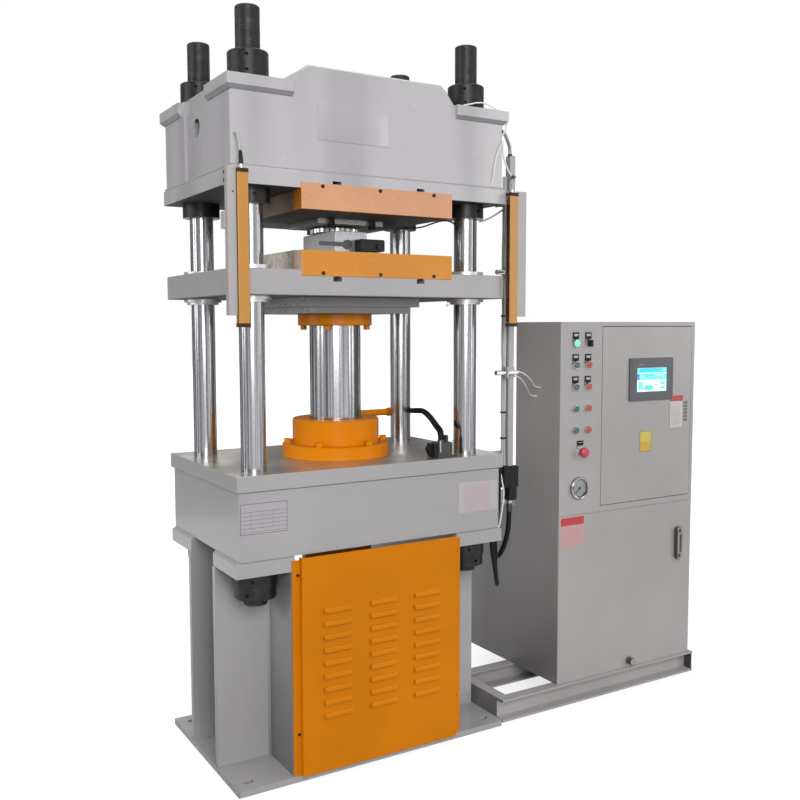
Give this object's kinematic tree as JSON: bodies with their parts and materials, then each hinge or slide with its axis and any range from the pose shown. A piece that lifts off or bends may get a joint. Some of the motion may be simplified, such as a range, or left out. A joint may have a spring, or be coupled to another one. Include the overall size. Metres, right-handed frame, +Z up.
{
  "type": "hydraulic press",
  "caption": "Four-column hydraulic press: fixed crosshead, platen raised by a chromed ram, louvred base, light curtains, and a tank with a control cabinet on a skid beside it.",
  "frame": {"origin": "on the ram's axis at the underside of the foot plate", "axes": "+Z up along the ram, +X to the right towards the power unit, -Y to the operator"},
  "size_m": [2.05, 0.679, 2.416],
  "materials": {
    "barrel_sensors": "nickel plated",
    "base_nuts": "black oxide",
    "bracket_left": "satin grey paint",
    "bracket_right": "satin grey paint",
    "button_bezels": "bright ring",
    "cabinet": "satin grey paint",
    "cabinet_door": "satin grey paint",
    "column_nuts": "black oxide",
    "columns": "polished, hard chromed",
    "conduit": "black, semi-matt",
    "connector_box": "black moulding",
    "connector_plug": "black moulding",
    "cover_screws": "black oxide",
    "cylinder_barrel": "yellow enamel",
    "cylinder_bolts": "painted over",
    "cylinder_gland": "yellow enamel",
    "die_clamps": "black oxide",
    "estop": "red moulding",
    "foot_plate": "satin grey paint",
    "frame_screws": "black oxide",
    "front_guard": "orange-yellow enamel",
    "gauge": "bright case with a white dial",
    "gauge_needle": "black",
    "green_button_1": "green moulding",
    "green_button_2": "green moulding",
    "green_button_3": "green moulding",
    "green_button_4": "green moulding",
    "guide_bushes": "machined and blackened",
    "hoses": "black rubber",
    "junction_block": "black",
    "leak_pipe": "yellow enamel",
    "leg_left": "satin grey paint",
    "leg_right": "satin grey paint",
    "light_curtains": "yellow powder coat",
    "limit_switch": "grey moulding",
    "lower_beam": "satin grey paint",
    "lower_bolster": "ground steel",
    "lower_cover": "orange enamel",
    "lower_die": "ground steel",
    "moving_platen": "satin grey paint",
    "operator_panel": "dark moulding with a screen",
    "ram": "hard chromed and polished",
    "ram_bolts": "black oxide",
    "ram_flange": "yellow enamel",
    "red_button_1": "red moulding",
    "red_button_2": "red moulding",
    "red_button_3": "red moulding",
    "red_button_4": "red moulding",
    "riser_plates": "milled steel",
    "selector": "black moulding",
    "sensor_rail": "satin grey paint",
    "signal_cables": "grey jacket",
    "skid": "satin grey paint",
    "tank": "satin grey paint",
    "tank_fittings": "black moulding with a glass tube",
    "toothed_ring": "machined steel",
    "upper_bolster": "ground steel",
    "upper_cover": "orange enamel",
    "upper_crosshead": "satin grey paint",
    "upper_die": "ground steel"
  },
  "bodies": {
    "frame": {"barrel_sensors": "barrel_sensors", "base_nuts": "base_nuts", "bracket_left": "bracket_left", "bracket_right": "bracket_right", "button_bezels": "button_bezels", "cabinet": "cabinet", "column_nuts": "column_nuts", "columns": "columns", "conduit": "conduit", "connector_box": "connector_box", "connector_plug": "connector_plug", "cylinder_barrel": "cylinder_barrel", "cylinder_bolts": "cylinder_bolts", "cylinder_gland": "cylinder_gland", "die_clamps": "die_clamps", "foot_plate": "foot_plate", "frame_screws": "frame_screws", "front_guard": "front_guard", "gauge": "gauge", "hoses": "hoses", "junction_block": "junction_block", "leak_pipe": "leak_pipe", "leg_left": "leg_left", "leg_right": "leg_right", "light_curtains": "light_curtains", "limit_switch": "limit_switch", "lower_beam": "lower_beam", "sensor_rail": "sensor_rail", "signal_cables": "signal_cables", "skid": "skid", "tank": "tank", "tank_fittings": "tank_fittings", "upper_bolster": "upper_bolster", "upper_cover": "upper_cover", "upper_crosshead": "upper_crosshead", "upper_die": "upper_die"},
    "platen": {"moving_platen": "moving_platen", "guide_bushes": "guide_bushes", "riser_plates": "riser_plates", "ram_flange": "ram_flange", "ram_bolts": "ram_bolts", "ram": "ram", "lower_bolster": "lower_bolster", "lower_cover": "lower_cover", "cover_screws": "cover_screws", "lower_die": "lower_die", "toothed_ring": "toothed_ring"},
    "door": {"cabinet_door": "cabinet_door", "operator_panel": "operator_panel"},
    "green_button_1_body": {"green_button_1": "green_button_1"},
    "green_button_2_body": {"green_button_2": "green_button_2"},
    "green_button_3_body": {"green_button_3": "green_button_3"},
    "green_button_4_body": {"green_button_4": "green_button_4"},
    "red_button_1_body": {"red_button_1": "red_button_1"},
    "red_button_2_body": {"red_button_2": "red_button_2"},
    "red_button_3_body": {"red_button_3": "red_button_3"},
    "red_button_4_body": {"red_button_4": "red_button_4"},
    "selector_body": {"selector": "selector"},
    "estop_body": {"estop": "estop"},
    "gauge_needle_body": {"gauge_needle": "gauge_needle"}
  },
  "joints": [
    {"name": "platen_slide", "type": "slide", "parent": "frame", "child": "platen", "axis": [0, 0, 1], "range_m": [-0.3, 0]},
    {"name": "door_hinge", "type": "hinge", "parent": "frame", "child": "door", "pos_m": [1.488, -0.284, 1.1025], "axis": [0, 0, 1], "range_deg": [0, 105]},
    {"name": "green_button_1_press", "type": "slide", "parent": "frame", "child": "green_button_1_body", "axis": [0, 1, 0], "range_m": [0, 0.004], "stiffness_N_per_m": 600, "springref_m": -0.002},
    {"name": "green_button_2_press", "type": "slide", "parent": "frame", "child": "green_button_2_body", "axis": [0, 1, 0], "range_m": [0, 0.004], "stiffness_N_per_m": 600, "springref_m": -0.002},
    {"name": "green_button_3_press", "type": "slide", "parent": "frame", "child": "green_button_3_body", "axis": [0, 1, 0], "range_m": [0, 0.004], "stiffness_N_per_m": 600, "springref_m": -0.002},
    {"name": "green_button_4_press", "type": "slide", "parent": "frame", "child": "green_button_4_body", "axis": [0, 1, 0], "range_m": [0, 0.004], "stiffness_N_per_m": 600, "springref_m": -0.002},
    {"name": "red_button_1_press", "type": "slide", "parent": "frame", "child": "red_button_1_body", "axis": [0, 1, 0], "range_m": [0, 0.004], "stiffness_N_per_m": 600, "springref_m": -0.002},
    {"name": "red_button_2_press", "type": "slide", "parent": "frame", "child": "red_button_2_body", "axis": [0, 1, 0], "range_m": [0, 0.004], "stiffness_N_per_m": 600, "springref_m": -0.002},
    {"name": "red_button_3_press", "type": "slide", "parent": "frame", "child": "red_button_3_body", "axis": [0, 1, 0], "range_m": [0, 0.004], "stiffness_N_per_m": 600, "springref_m": -0.002},
    {"name": "red_button_4_press", "type": "slide", "parent": "frame", "child": "red_button_4_body", "axis": [0, 1, 0], "range_m": [0, 0.004], "stiffness_N_per_m": 600, "springref_m": -0.002},
    {"name": "selector_turn", "type": "hinge", "parent": "frame", "child": "selector_body", "pos_m": [0.927, -0.288, 1.387], "axis": [0, 1, 0], "range_deg": [-45, 45]},
    {"name": "estop_press", "type": "slide", "parent": "frame", "child": "estop_body", "axis": [0, 1, 0], "range_m": [0, 0.006], "stiffness_N_per_m": 1500, "springref_m": -0.002},
    {"name": "needle_turn", "type": "hinge", "parent": "frame", "child": "gauge_needle_body", "pos_m": [0.888, -0.288, 0.836], "axis": [0, 1, 0], "range_deg": [0, 270], "stiffness_Nm_per_rad": 0.003, "springref_deg": -8.59}
  ]
}
